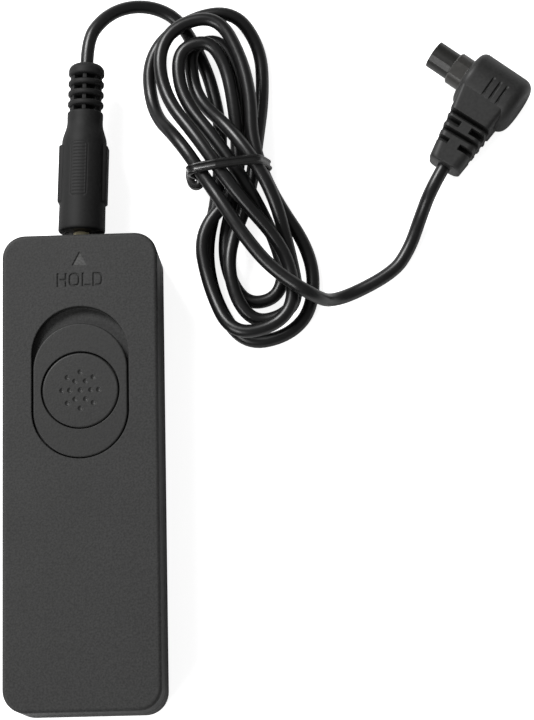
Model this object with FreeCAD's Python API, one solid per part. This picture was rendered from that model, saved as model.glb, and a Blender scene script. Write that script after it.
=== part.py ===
import FreeCAD, Part
import math
import os

os.makedirs("parts", exist_ok=True)
V = FreeCAD.Vector

# Wired remote shutter release: handset, stereo plug, bundled cord, camera connector.
# The handset lies on its back, face up, jack end toward +Y. Origin at its bottom centre.

# Handset case
case_width = 34.0
case_length = 104.0
case_height = 18.0
case_corner = 5.0
case_wall = 1.8
face_thickness = 2.0
face_edge = 0.8
groove_deep = 0.3
groove_half = 0.15
lip_thickness = 0.8
lip_above = 1.2
lip_clear = 0.1
lip_root = 2.0
case_pillar_radius = 3.0
case_pillar_side = 6.0
case_pillar_end = 9.0
case_pillar_x = case_width / 2 - case_pillar_side
case_pillar_y = case_length / 2 - case_pillar_end

# Case and board screws, grip and bite counted from the parting
case_screw_radius = 1.0
case_screw_head_radius = 1.9
case_screw_head_height = 1.4
case_screw_grip = 4.0
case_screw_bite = 4.0
counterbore_radius = 2.1
thread_clear = 0.03
shank_clear = 0.15
board_screw_radius = 0.8
board_screw_head_radius = 1.6
board_screw_head_height = 1.1
board_screw_bite = 2.5

# Hold slider, its recess and the shutter button
hold_travel = 3.5
plate_width = 20.5
plate_length = 29.6
plate_sunk = 0.2
plate_thick = 1.7
plate_top = case_height - plate_sunk
plate_bottom = plate_top - plate_thick
plate_edge = 0.35
plate_hole_radius = 8.55
button_from_end = 34.8
button_y = case_length / 2 - button_from_end
recess_side_gap = 0.35
recess_end_gap = 0.25
recess_floor_gap = 0.1
recess_floor = plate_bottom - recess_floor_gap
recess_floor_thickness = 1.4
well_bottom = recess_floor - recess_floor_thickness
recess_rim = 1.5
button_radius = 8.3
button_sunk = 0.4
button_top = case_height - button_sunk
button_edge = 0.4
flange_radius = 9.0
flange_thick = 0.9
flange_top = recess_floor
flange_bottom = flange_top - flange_thick
pocket_radius = 6.0
button_cap = 1.4
pocket_roof = button_top - button_cap
stem_radius = 2.0
slot_clear = 0.3
leg_width = 4.0
leg_thickness = 0.8
leg_offset = 9.7
stake_width = 6.4
stake_depth = 2.6
stake_height = 0.7
dimple_radius = 0.75
dimple_depth = 0.26

# Slider carriage under the face
carriage_gap = 0.1
carriage_height = 3.5
carriage_top = well_bottom - carriage_gap
carriage_bottom = carriage_top - carriage_height
carriage_width = 20.0
carriage_length = 26.0
carriage_bore_radius = 9.2
cup_thick = 0.8
cup_floor = carriage_bottom + cup_thick
stem_reach = 1.3
stem_tip = carriage_bottom - stem_reach
stem_hole_radius = 2.1
leg_hole_clear = 0.1

# Button spring
button_spring_radius = 4.3
button_spring_wire = 0.45
button_spring_turns = 4

# Switch under the stem: two leaves, the contact on the board, the board itself
leaf_width = 5.0
leaf_thick = 0.25
focus_leaf_thick = 0.2
contact_thick = 0.25
board_thick = 1.2
stem_gap = 0.15
focus_gap = 0.5
shutter_gap = 1.85
common_leaf_z1 = stem_tip - stem_gap
common_leaf_z0 = common_leaf_z1 - leaf_thick
focus_leaf_z1 = common_leaf_z0 - focus_gap
focus_leaf_z0 = focus_leaf_z1 - focus_leaf_thick
contact_z1 = focus_leaf_z0 - shutter_gap
board_top = contact_z1 - contact_thick
board_bottom = board_top - board_thick
leaf_free = 21.2
leaf_held = 1.5
leaf_past = 6.8
leaf_slot_clear = 0.2
contact_before = 5.2
contact_past = 8.8
contact_y0 = button_y - contact_before
contact_y1 = button_y + contact_past
block_screw_gap = 0.3
block_length = 8.0
block_over = 0.75
block_y1 = button_y - leaf_free
block_y0 = block_y1 - block_length
block_top = common_leaf_z1 + block_over
leaf_root_y = block_y1 - leaf_held
leaf_end_y = button_y + leaf_past
tail_width = 1.0
tail_offset = 2.0
tail_reach = 1.0
tail_thick = 0.25

# Jack in the far end, half in the cover and half in the base
jack_x = -0.5
jack_rise = 2.5
jack_z = board_top + jack_rise
parting_z = jack_z
jack_half_width = 3.2
jack_over = 2.6
jack_top = jack_z + jack_over
jack_body = 12.2
jack_back = 1.0
jack_y1 = case_length / 2 - case_wall
jack_y0 = jack_y1 - jack_body
jack_bore_y0 = jack_y0 + jack_back
jack_bore_radius = 1.8
jack_nose_radius = 3.0
jack_nose_sunk = 0.1
jack_nose_tip = case_length / 2 - jack_nose_sunk
jack_hole_radius = 3.1
strip_gap = 0.15
strip_thick = 0.3
strip_width = 1.6
strip_over = 1.5
strip_top = jack_z + strip_over

# Board outline and its posts
board_side_gap = 0.3
board_end_gap = 0.8
board_past_block = 4.0
board_half_width = case_pillar_x - case_pillar_radius - board_side_gap
board_y0 = block_y0 - board_past_block
board_y1 = jack_y1 - board_end_gap
board_post_radius = 2.0
board_post_inset = 1.7
board_post_near = 4.0
board_post_far = 4.0
post_x = board_half_width - board_post_inset
post_y0 = board_y0 + board_post_near
post_y1 = jack_y0 - board_post_far
board_post_places = ((-post_x, post_y0), (post_x, post_y0), (-post_x, post_y1), (post_x, post_y1))
board_screw_places = (board_post_places[0], board_post_places[3])
block_half_width = post_x - (board_screw_head_radius + block_screw_gap)
board_screw_tip = board_bottom - board_screw_bite
case_screw_seat = parting_z - case_screw_grip
case_screw_tip = parting_z + case_screw_bite

# Stereo pin of the plug
pin_radius = 1.75
pin_gap = 2.4
sleeve_length = 6.7
pin_insulator = 0.6
ring_length = 2.5
tip_length = 4.1
tube_clear = 0.03
tip_rod_radius = 0.5
inner_insulator_radius = 0.75
ring_tube_radius = 1.05
outer_insulator_radius = 1.30
sleeve_root = 3.6
strip_on_tip = 1.5
strip_on_ring = 0.8
strip_on_sleeve = 0.6
face_y = case_length / 2 + pin_gap
sleeve_y = face_y - sleeve_length
ring_y1 = sleeve_y - pin_insulator
ring_y0 = ring_y1 - ring_length
tip_y1 = ring_y0 - pin_insulator
tip_y0 = tip_y1 - tip_length
strip_places = (tip_y0 + strip_on_tip, ring_y0 + strip_on_ring, sleeve_y + strip_on_sleeve)
stack_step = 1.2
plug_mould_radius = 3.2
plug_mould_start = 1.0
plug_mould_end = 14.0

# Moulded handle of the plug, lengths measured from its front face
handle_lean = 2.1
handle_front_radius = 5.225
handle_back_radius = 5.0
handle_body = 23.0
handle_shoulder = 25.0
relief_radius = 4.0
handle_length = 39.5
handle_edge = 0.6
pad_start = 6.5
pad_end = 20.0
pad_half_height = 3.2
pad_reach = 5.65
panel_half_width = 1.55
panel_start = 7.3
panel_pitch = 0.77
panel_ribs = 16
panel_groove = 0.38
panel_floor = 4.72
relief_first = 28.2
relief_pitch = 2.43
relief_rows = 4
relief_slot = 1.4
relief_ring_depth = 0.4
relief_core = 2.2
relief_web_top = 0.5
relief_web_side = 1.25

# Cord
cord_diameter = 3.0
cord_radius = cord_diameter / 2
cord_arc_share = 0.45
cord_core_clear = 0.03

# Camera connector, in its own axes: nose along a, cord away along b, z up
connector_x = 92.29
connector_y = 84.30
connector_z = 6.78
connector_nose_angle = 142.7
head_radius = 6.775
head_back = -6.8
head_front = 7.0
head_back_edge = 1.8
head_front_edge = 0.8
groove_places = (0.95, -0.85, -2.65)
groove_b0 = -1.3
groove_b1 = 4.9
groove_width = 0.5
groove_floor = 5.9
nose_radius = 3.2
nose_neck_radius = 3.0
nose_bore_radius = 2.75
nose_step_gap = 0.05
nose_root = 3.0
nose_tip = 16.25
nose_flat_width = 1.5
nose_flat_turn = 34.0
insert_clear = 0.03
insert_root = 5.0
insert_tip = 14.5
contact_pin_radius = 0.35
contact_pin_ring = 1.4
contact_pin_root = 1.0
contact_pin_tip = 15.7
mould_root = -4.5
collar_radius = 3.85
collar_clear = 0.05
collar_root = 5.0
collar_tip = 10.8
collar_flat_width = 3.2
collar_flat_turn = 14.0
collar_edge = 0.3
counterbore_clear = 0.2
counterbore_root = 1.5
collar_spring_radius = 3.6
collar_spring_wire = 0.4
collar_spring_root = 1.75
collar_spring_length = 1.5
collar_spring_turns = 1.5
boot_start = 3.0
boot_start_left = 6.2
boot_start_right = -4.9
boot_start_half = 5.0
boot_end = 20.3
boot_end_a = -0.8
boot_end_half = 3.75
boot_lean = 6.6
boot_corner_start = 2.4
boot_corner_end = 2.0
boot_slots = ((9.5, 1.1), (13.45, 1.0))
boot_windows = ((11.35, 1.2), (15.75, 1.0))
boot_web_left = 1.2
boot_web_right = -1.45
boot_core = 2.0
boot_cord_root = 6.0
boot_cord_gap = 0.1

# Cord tie
tie_width = 2.0
tie_thick = 0.8
tie_strand_gap = 0.25
tie_spread = 0.45
twist_z = 4.6
twist_across = 1.65
twist_along = 2.9
twist_half_height = 1.5


def box(x0, x1, y0, y1, z0, z1):
    return Part.makeBox(x1 - x0, y1 - y0, z1 - z0, V(x0, y0, z0))


def rod_z(radius, z0, z1, x=0.0, y=0.0):
    return Part.makeCylinder(radius, z1 - z0, V(x, y, z0), V(0, 0, 1))


def rod_y(radius, y0, y1, x=jack_x, z=jack_z):
    return Part.makeCylinder(radius, y1 - y0, V(x, y0, z), V(0, 1, 0))


def rod_x(radius, x0, x1, y=0.0, z=0.0):
    return Part.makeCylinder(radius, x1 - x0, V(x0, y, z), V(1, 0, 0))


def tube_y(inner, outer, y0, y1):
    return rod_y(outer, y0, y1).cut(rod_y(inner, y0 - 1, y1 + 1))


def tube_x(inner, outer, x0, x1):
    return rod_x(outer, x0, x1).cut(rod_x(inner, x0 - 1, x1 + 1))


def rounded(width, length, corner, z0, z1):
    block = box(-width / 2, width / 2, -length / 2, length / 2, z0, z1)
    upright = [e for e in block.Edges if abs(e.tangentAt(e.FirstParameter).z) > 0.9]
    return block.makeFillet(corner, upright)


def capsule(width, length, y, z0, z1):
    radius = width / 2
    reach = length / 2 - radius
    middle = box(-radius, radius, y - reach, y + reach, z0, z1)
    ends = rod_z(radius, z0, z1, 0, y - reach).fuse(rod_z(radius, z0, z1, 0, y + reach))
    return middle.fuse(ends).removeSplitter()


def edges_at(solid, axis, place):
    found = []
    for edge in solid.Edges:
        low = getattr(edge.BoundBox, axis + "Min")
        high = getattr(edge.BoundBox, axis + "Max")
        if abs(low - place) < 1e-4 and abs(high - place) < 1e-4:
            found.append(edge)
    return found


def coil(radius, wire, height, turns):
    helix = Part.makeHelix(height / turns, height, radius)
    start = V(radius, 0, 0)
    climb = height / turns / (2 * math.pi * radius)
    section = Part.Wire([Part.makeCircle(wire / 2, start, V(0, 1, climb))])
    return Part.Solid(Part.Wire(helix.Edges).makePipeShell([section], True, True))


def save(shape, name):
    for solid in shape.Solids:
        if not solid.isValid() or not solid.isClosed():
            print("bad solid in", name)
    if len(shape.Solids) > 1:
        shape = Part.Compound(shape.Solids)
    else:
        shape = shape.Solids[0]
    shape.exportStep("parts/" + name + ".step")
    print(name, len(shape.Solids), "solids, volume", round(shape.Volume, 2))


# Case outline, shared by the cover and the base
outline = rounded(case_width, case_length, case_corner, 0, case_height)
outline = outline.makeFillet(face_edge, edges_at(outline, "Z", case_height) + edges_at(outline, "Z", 0))


def inset(depth, z0, z1):
    return rounded(case_width - 2 * depth, case_length - 2 * depth, case_corner - depth, z0, z1)


jack_hole = rod_y(jack_hole_radius, case_length / 2 - case_wall - 1, case_length / 2 + 1)
groove = inset(-1.0, parting_z - groove_half, parting_z + groove_half)
groove = groove.cut(inset(groove_deep, parting_z - 1, parting_z + 1))
pillars = [(x, y) for x in (-case_pillar_x, case_pillar_x) for y in (-case_pillar_y, case_pillar_y)]
face_under = case_height - face_thickness

# Top cover: face, recess for the slider, well floor, screw pillars
recess_width = plate_width + 2 * recess_side_gap
recess_length = plate_length + hold_travel + 2 * recess_end_gap
recess_y = button_y + hold_travel / 2
leg_slot_y0 = button_y - leg_offset - leg_thickness - 1.5 * slot_clear
leg_slot_y1 = button_y + leg_offset + leg_thickness + hold_travel + 1.5 * slot_clear
cover = outline.common(inset(-1.0, parting_z, case_height + 1))
cover = cover.cut(inset(case_wall, parting_z - 1, face_under))
cover = cover.fuse(capsule(recess_width + 2 * recess_rim, recess_length + 2 * recess_rim,
                           recess_y, well_bottom, face_under + 0.1))
for x, y in pillars:
    cover = cover.fuse(rod_z(case_pillar_radius, parting_z, face_under + 0.1, x, y))
cover = cover.cut(capsule(recess_width, recess_length, recess_y, recess_floor, case_height + 1))
flange_slot = 2 * (flange_radius + slot_clear)
cover = cover.cut(capsule(flange_slot, flange_slot + hold_travel, recess_y, well_bottom - 1, case_height))
cover = cover.cut(box(-leg_width / 2 - slot_clear, leg_width / 2 + slot_clear, leg_slot_y0, leg_slot_y1,
                      well_bottom - 1, case_height))
for x, y in pillars:
    cover = cover.cut(rod_z(case_screw_radius + thread_clear, parting_z - 1, case_screw_tip + 0.8, x, y))
cover = cover.cut(jack_hole).cut(groove)

# Legend beside the slider: letters and an arrowhead sunk into the face, built from strokes
legend_depth = 0.2
legend_from_end = 11.8
legend_y0 = case_length / 2 - legend_from_end
legend_height = 3.0
legend_stroke = 0.42
legend_gap = 0.45
legend_widths = (2.2, 2.4, 1.9, 2.2)
legend_x = 0.1
legend_corner = 1.0
legend_y1 = legend_y0 + legend_height
triangle_from_end = 7.1
triangle_height = 3.05
triangle_y0 = case_length / 2 - triangle_from_end
triangle_y1 = triangle_y0 + triangle_height
triangle_half = 1.66


def stroke(x0, x1, y0, y1):
    return box(x0, x1, y0, y1, case_height - legend_depth, case_height + 1)


def letter_ring(x0, width, round_left):
    outer = stroke(x0, x0 + width, legend_y0, legend_y1)
    hole = box(x0 + legend_stroke, x0 + width - legend_stroke, legend_y0 + legend_stroke,
               legend_y1 - legend_stroke, case_height - 1, case_height + 2)
    rounded_parts = []
    for shape, corner in ((outer, legend_corner), (hole, legend_corner - legend_stroke)):
        upright = [e for e in shape.Edges if abs(e.tangentAt(e.FirstParameter).z) > 0.9]
        if not round_left:
            upright = [e for e in upright if e.CenterOfMass.x > x0 + width / 2]
        rounded_parts.append(shape.makeFillet(corner, upright))
    return rounded_parts[0].cut(rounded_parts[1])


def letter_h(x0, width):
    left = stroke(x0, x0 + legend_stroke, legend_y0, legend_y1)
    right = stroke(x0 + width - legend_stroke, x0 + width, legend_y0, legend_y1)
    middle = (legend_y0 + legend_y1) / 2
    bar = stroke(x0, x0 + width, middle - legend_stroke / 2, middle + legend_stroke / 2)
    return left.fuse(right).fuse(bar).removeSplitter()


def letter_l(x0, width):
    left = stroke(x0, x0 + legend_stroke, legend_y0, legend_y1)
    return left.fuse(stroke(x0, x0 + width, legend_y0, legend_y0 + legend_stroke)).removeSplitter()


letter_x = [legend_x - (sum(legend_widths) + 3 * legend_gap) / 2]
for width in legend_widths:
    letter_x.append(letter_x[-1] + width + legend_gap)
corners = [V(-triangle_half, triangle_y0, 0), V(triangle_half, triangle_y0, 0), V(0, triangle_y1, 0)]
triangle = Part.Face(Part.makePolygon(corners + corners[:1])).extrude(V(0, 0, legend_depth + 1))
triangle.translate(V(0, 0, case_height - legend_depth))
for sunk in (letter_h(letter_x[0], legend_widths[0]), letter_ring(letter_x[1], legend_widths[1], True),
             letter_l(letter_x[2], legend_widths[2]),
             letter_ring(letter_x[3], legend_widths[3], False), triangle):
    cover = cover.cut(sunk)
save(cover, "top_cover")

# Base shell: floor, side wall, locating lip, screw pillars, board posts
base = outline.common(inset(-1.0, -1, parting_z))
base = base.cut(inset(case_wall, case_wall, parting_z + 1))
lip_outer = case_wall + lip_clear
lip_inner = lip_outer + lip_thickness
lip_low = inset(case_wall - 0.2, parting_z - lip_root, parting_z)
lip_low = lip_low.cut(inset(lip_inner, parting_z - lip_root - 1, parting_z + 1))
lip_high = inset(lip_outer, parting_z - 0.1, parting_z + lip_above)
lip_high = lip_high.cut(inset(lip_inner, parting_z - 1, parting_z + lip_above + 1))
base = base.fuse(lip_low).fuse(lip_high)
for x, y in pillars:
    base = base.fuse(rod_z(case_pillar_radius, case_wall - 0.1, parting_z, x, y))
for x, y in board_post_places:
    base = base.fuse(rod_z(board_post_radius, case_wall - 0.1, board_bottom, x, y))
for x, y in pillars:
    base = base.cut(rod_z(case_screw_radius + shank_clear, 1, parting_z + 1, x, y))
    base = base.cut(rod_z(counterbore_radius, -1, case_screw_seat, x, y))
for x, y in board_screw_places:
    base = base.cut(rod_z(board_screw_radius + thread_clear, board_screw_tip - 0.3, board_bottom + 1, x, y))
base = base.cut(box(jack_x - jack_half_width - 0.2, jack_x + jack_half_width + 0.2,
                    case_length / 2 - lip_inner - 0.5, case_length / 2 - case_wall,
                    board_top, parting_z + lip_above + 1))
base = base.cut(jack_hole).cut(groove)
save(base, "base_shell")

# Screws with cross recesses
def screw(radius, head_radius, head_z0, head_z1, shank_z0, shank_z1, recess_z0, recess_z1, x, y):
    body = rod_z(head_radius, head_z0, head_z1, x, y).fuse(rod_z(radius, shank_z0, shank_z1, x, y))
    arm = 0.62 * head_radius
    half = 0.16 * head_radius
    body = body.cut(box(x - arm, x + arm, y - half, y + half, recess_z0, recess_z1))
    return body.cut(box(x - half, x + half, y - arm, y + arm, recess_z0, recess_z1)).removeSplitter()


head_z0 = case_screw_seat - case_screw_head_height
save(Part.Compound([screw(case_screw_radius, case_screw_head_radius, head_z0, case_screw_seat,
                          head_z0 + 1, case_screw_tip, head_z0 - 1, head_z0 + 0.7, x, y)
                    for x, y in pillars]), "case_screws")
head_z1 = board_top + board_screw_head_height
save(Part.Compound([screw(board_screw_radius, board_screw_head_radius, board_top, head_z1,
                          board_screw_tip, head_z1 - 0.6, head_z1 - 0.5, head_z1 + 1, x, y)
                    for x, y in board_screw_places]), "board_screws")

# Hold slider: face plate, two legs through the case, stake heads under the carriage
plate = capsule(plate_width, plate_length, button_y, plate_bottom, plate_top)
plate = plate.makeFillet(plate_edge, edges_at(plate, "Z", plate_top))
plate = plate.cut(rod_z(plate_hole_radius, plate_bottom - 1, plate_top + 1, 0, button_y))
for side in (-1, 1):
    near = button_y + side * leg_offset
    far = near + side * leg_thickness
    y0, y1 = min(near, far), max(near, far)
    middle = (y0 + y1) / 2
    plate = plate.fuse(box(-leg_width / 2, leg_width / 2, y0, y1, carriage_bottom - 0.1, plate_bottom + 0.1))
    plate = plate.fuse(box(-stake_width / 2, stake_width / 2, middle - stake_depth / 2,
                           middle + stake_depth / 2, carriage_bottom - stake_height, carriage_bottom))
save(plate.removeSplitter(), "hold_slider")

# Slider carriage: cup for the button spring, guided under the recess floor
carriage = box(-carriage_width / 2, carriage_width / 2, button_y - carriage_length / 2,
               button_y + carriage_length / 2, carriage_bottom, carriage_top)
carriage = carriage.cut(rod_z(carriage_bore_radius, cup_floor, carriage_top + 1, 0, button_y))
carriage = carriage.cut(rod_z(stem_hole_radius, carriage_bottom - 1, cup_floor + 1, 0, button_y))
for side in (-1, 1):
    near = button_y + side * (leg_offset - leg_hole_clear)
    far = button_y + side * (leg_offset + leg_thickness + leg_hole_clear)
    carriage = carriage.cut(box(-leg_width / 2 - leg_hole_clear, leg_width / 2 + leg_hole_clear,
                                min(near, far), max(near, far), carriage_bottom - 1, carriage_top + 1))
save(carriage, "slider_carriage")

# Shutter button: dimpled cap, retaining flange, spring pocket, stem
button = rod_z(button_radius, flange_top - 0.1, button_top, 0, button_y)
button = button.makeFillet(button_edge, edges_at(button, "Z", button_top))
button = button.fuse(rod_z(flange_radius, flange_bottom, flange_top, 0, button_y))
button = button.cut(rod_z(pocket_radius, flange_bottom - 1, pocket_roof, 0, button_y))
button = button.fuse(rod_z(stem_radius, stem_tip, pocket_roof + 0.1, 0, button_y))
dimples = [(0.0, 0.0)]
for count, ring_radius in ((6, 2.3), (8, 4.0)):
    for step in range(count):
        angle = 2 * math.pi * step / count
        dimples.append((ring_radius * math.cos(angle), ring_radius * math.sin(angle)))
for x, y in dimples:
    ball_z = button_top + dimple_radius - dimple_depth
    button = button.cut(Part.makeSphere(dimple_radius, V(x, button_y + y, ball_z)))
save(button, "shutter_button")

# Return spring between the carriage cup and the button pocket
spring_height = pocket_roof - cup_floor - button_spring_wire - 0.04
spring = coil(button_spring_radius, button_spring_wire, spring_height, button_spring_turns)
spring.translate(V(0, button_y, cup_floor + button_spring_wire / 2 + 0.02))
save(spring, "return_spring")

# Circuit board and the two-stage switch
board = box(-board_half_width, board_half_width, board_y0, board_y1, board_bottom, board_top)
for x, y in board_screw_places:
    board = board.cut(rod_z(board_screw_radius + shank_clear, board_bottom - 1, board_top + 1, x, y))
save(board, "circuit_board")
half_leaf = leaf_width / 2
block = box(-block_half_width, block_half_width, block_y0, block_y1, board_top, block_top)
for z0, z1 in ((common_leaf_z0, common_leaf_z1), (focus_leaf_z0, focus_leaf_z1)):
    block = block.cut(box(-half_leaf - leaf_slot_clear, half_leaf + leaf_slot_clear,
                          leaf_root_y - leaf_slot_clear, block_y1 + 1,
                          z0 - leaf_slot_clear, z1 + leaf_slot_clear))
save(block, "contact_block")
save(box(-half_leaf, half_leaf, leaf_root_y, leaf_end_y, common_leaf_z0, common_leaf_z1), "common_leaf")
save(box(-half_leaf, half_leaf, leaf_root_y, leaf_end_y, focus_leaf_z0, focus_leaf_z1), "focus_leaf")
save(box(-half_leaf, half_leaf, contact_y0, contact_y1, board_top, contact_z1), "shutter_contact")
tails = []
for x, z0, z1 in ((-tail_offset, common_leaf_z0, common_leaf_z1),
                  (tail_offset, focus_leaf_z0, focus_leaf_z1)):
    bar = box(x - tail_width / 2, x + tail_width / 2, block_y0 - tail_reach, block_y0, z0, z1)
    drop = box(x - tail_width / 2, x + tail_width / 2, block_y0 - tail_reach,
               block_y0 - tail_reach + tail_thick, board_top, z1)
    tails.append(bar.fuse(drop).removeSplitter())
save(Part.Compound(tails), "leaf_tails")

# Jack: moulded socket on the board, nose in the end wall, three contact strips
socket = box(jack_x - jack_half_width, jack_x + jack_half_width, jack_y0, jack_y1, board_top, jack_top)
socket = socket.fuse(rod_y(jack_nose_radius, jack_y1 - 0.5, jack_nose_tip)).removeSplitter()
socket = socket.cut(rod_y(jack_bore_radius, jack_bore_y0, jack_nose_tip + 1))
strip_x0 = jack_x + pin_radius + strip_gap
strips = []
for y in strip_places:
    socket = socket.cut(box(jack_x + jack_bore_radius - 0.4, strip_x0 + strip_thick + 0.15,
                            y - strip_width / 2 - 0.15, y + strip_width / 2 + 0.15,
                            board_top - 1, strip_top + 0.15))
    strips.append(box(strip_x0, strip_x0 + strip_thick, y - strip_width / 2, y + strip_width / 2,
                      board_top, strip_top))
save(socket, "jack_socket")
save(Part.Compound(strips), "jack_contacts")

# Stereo pin: sleeve, ring and tip on nested tubes, all round the jack axis
sleeve_end = face_y + sleeve_root
outer_end = sleeve_end + stack_step
ring_end = outer_end + stack_step
inner_end = ring_end + stack_step
rod_end = inner_end + stack_step
sleeve = tube_y(outer_insulator_radius + tube_clear, pin_radius, sleeve_y, sleeve_end)
save(sleeve, "sleeve_contact")
outer_ring = tube_y(ring_tube_radius + tube_clear, pin_radius, ring_y1, sleeve_y)
outer_tube = tube_y(ring_tube_radius + tube_clear, outer_insulator_radius, ring_y1, outer_end)
inner_ring = tube_y(tip_rod_radius + tube_clear, pin_radius, tip_y1, ring_y0)
inner_tube = tube_y(tip_rod_radius + tube_clear, inner_insulator_radius, tip_y1, inner_end)
insulators = [outer_ring.fuse(outer_tube).removeSplitter(), inner_ring.fuse(inner_tube).removeSplitter()]
save(Part.Compound(insulators), "plug_insulators")
ring = tube_y(inner_insulator_radius + tube_clear, pin_radius, ring_y0, ring_y1)
ring = ring.fuse(tube_y(inner_insulator_radius + tube_clear, ring_tube_radius, ring_y0, ring_end))
save(ring.removeSplitter(), "ring_contact")
tip_profile = [V(jack_x + radius, y, jack_z) for radius, y in (
    (0, tip_y0), (0.55, tip_y0), (pin_radius, tip_y0 + 1.7), (1.15, tip_y0 + 2.9),
    (pin_radius - 0.25, tip_y1 - 0.5), (pin_radius - 0.25, tip_y1), (0, tip_y1))]
tip_face = Part.Face(Part.makePolygon(tip_profile + tip_profile[:1]))
tip = tip_face.revolve(V(jack_x, 0, jack_z), V(0, 1, 0), 360)
tip = tip.fuse(rod_y(tip_rod_radius, tip_y1 - 0.3, rod_end)).removeSplitter()
save(tip, "tip_contact")
mould = rod_y(plug_mould_radius, face_y + plug_mould_start, face_y + plug_mould_end)
for radius, end in ((pin_radius, sleeve_end), (outer_insulator_radius, outer_end),
                    (ring_tube_radius, ring_end), (inner_insulator_radius, inner_end),
                    (tip_rod_radius, rod_end)):
    mould = mould.cut(rod_y(radius + tube_clear, face_y, end + tube_clear))
save(mould, "plug_inner_mould")

# Moulded handle with its strain relief; it leans a little toward the cord
def lean(shape):
    shape.rotate(V(jack_x, face_y, jack_z), V(0, 0, 1), -handle_lean)
    return shape


def handle_point(radius, along):
    return V(jack_x + radius, face_y + along, jack_z)


profile = [handle_point(0, 0), handle_point(handle_front_radius - handle_edge, 0),
           handle_point(handle_front_radius, handle_edge), handle_point(handle_back_radius, handle_body),
           handle_point(relief_radius, handle_shoulder),
           handle_point(relief_radius, handle_length - handle_edge),
           handle_point(relief_radius - handle_edge, handle_length), handle_point(0, handle_length)]
handle = Part.Face(Part.makePolygon(profile + profile[:1])).revolve(handle_point(0, 0), V(0, 1, 0), 360)
handle = handle.fuse(box(jack_x - pad_reach, jack_x + pad_reach, face_y + pad_start, face_y + pad_end,
                         jack_z - pad_half_height, jack_z + pad_half_height)).removeSplitter()
for rib in range(panel_ribs):
    y = face_y + panel_start + rib * panel_pitch
    handle = handle.cut(box(jack_x - panel_half_width, jack_x + panel_half_width, y, y + panel_groove,
                            jack_z + panel_floor, jack_z + handle_front_radius + 1))
for row in range(relief_rows):
    y = face_y + relief_first + row * relief_pitch
    y0, y1 = y - relief_slot / 2, y + relief_slot / 2
    window = rod_y(relief_radius + 1, y0, y1).cut(rod_y(relief_core, y0 - 1, y1 + 1))
    far = 2 * relief_radius
    webs = box(jack_x - relief_web_top, jack_x + relief_web_top, y0 - 1, y1 + 1, jack_z - far, jack_z + far)
    webs = webs.fuse(box(jack_x - far, jack_x + far, y0 - 1, y1 + 1,
                         jack_z - relief_web_side, jack_z + relief_web_side))
    window = window.cut(webs)
    handle = handle.cut(tube_y(relief_radius - relief_ring_depth, relief_radius + 1, y0, y1)).cut(window)
handle = lean(handle)
handle_core = lean(rod_y(cord_radius + cord_core_clear, face_y + plug_mould_end, face_y + handle_length + 1))
handle = handle.cut(handle_core)
handle = handle.cut(rod_y(plug_mould_radius, face_y + plug_mould_start, face_y + plug_mould_end))
handle = handle.cut(rod_y(pin_radius + tube_clear, face_y - 1, face_y + plug_mould_start + 1))
save(handle, "plug_handle")
exit_along = V(math.sin(math.radians(handle_lean)), math.cos(math.radians(handle_lean)), 0)
plug_exit = handle_point(0, 0) + exit_along * handle_length
core_root = plug_mould_end + 0.3
core_start = handle_point(0, 0) + exit_along * core_root
save(Part.makeCylinder(cord_radius, handle_length - core_root, core_start, exit_along), "plug_cord_end")

# Hank of cord: one unbroken strand laid round two lobes and nine times through the tie.
# Stations give place, height and heading; two tangent arcs join each to the next.
hank_x = 33.66
hank_y = 69.09
hank_turn = 9.5
waist_lift = 1.1
hank_u = V(-math.sin(math.radians(hank_turn)), math.cos(math.radians(hank_turn)), 0)
hank_v = V(math.cos(math.radians(hank_turn)), math.sin(math.radians(hank_turn)), 0)
layer_one = cord_radius
layer_two = layer_one + cord_diameter + 0.5
layer_three = layer_two + cord_diameter + 0.5
layer_top = 13.19


def waist(z):
    return z + waist_lift


stations = [
    (29.5, -3.0, layer_one, 164), (15.0, -1.3, layer_one, 180),
    (0, -3.65, waist(layer_one), 195), (-22.0, -9.9, layer_one, 180),
    (-39.3, 0.6, layer_one, 90), (-29.5, 12.32, layer_one, 9),
    (0, 5.8, waist(6.52), -9), (20.0, 6.51, 8.54, -3),
    (35.3, -2.4, layer_three, -90), (25.0, -12.14, 9.0, 180),
    (0, -3.84, waist(11.8), 157), (-29.0, 7.98, 8.92, 178.5),
    (-38.0, -1.0, 8.4, -90), (-19.0, -10.6, 5.6, 0),
    (0, 0.55, waist(5.39), 15), (20.0, 2.61, 8.03, -1),
    (29.8, -3.2, layer_three, -90), (23.5, -8.3, layer_three, 180),
    (0, -0.17, waist(9.2), 157), (-22.0, 6.43, layer_one, 174),
    (-30.3, 0.6, layer_one, -90), (-21.0, -5.7, layer_one, 0),
    (0, 0.58, waist(layer_one), 17), (19.0, 4.74, 4.81, 2),
    (30.8, -1.4, layer_two, -90), (25.0, -5.3, layer_two, 180),
    (0, 4.32, waist(10.8), 157), (-29.0, 8.65, 4.87, 180),
    (-35.4, 1.4, layer_two, -90), (-26.0, -5.3, 5.6, 0),
    (0, 4.35, waist(2.77), 18), (22.8, 10.46, layer_one, 8),
    (37.2, 1.6, layer_two, -90), (25.0, -15.21, 3.0, 186),
    (0, -7.9, waist(11.35), 157), (-14.0, -2.16, 13.77, 158),
    (-29.5, 7.3, layer_top, 135), (-32.0, 22.5, layer_one, 74),
]


def hank_place(u, v, z):
    spot = V(hank_x, hank_y, 0) + hank_u * u + hank_v * v
    return V(spot.x, spot.y, z)


def hank_heading(degrees):
    angle = math.radians(degrees)
    return hank_u * math.cos(angle) + hank_v * math.sin(angle)


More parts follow.
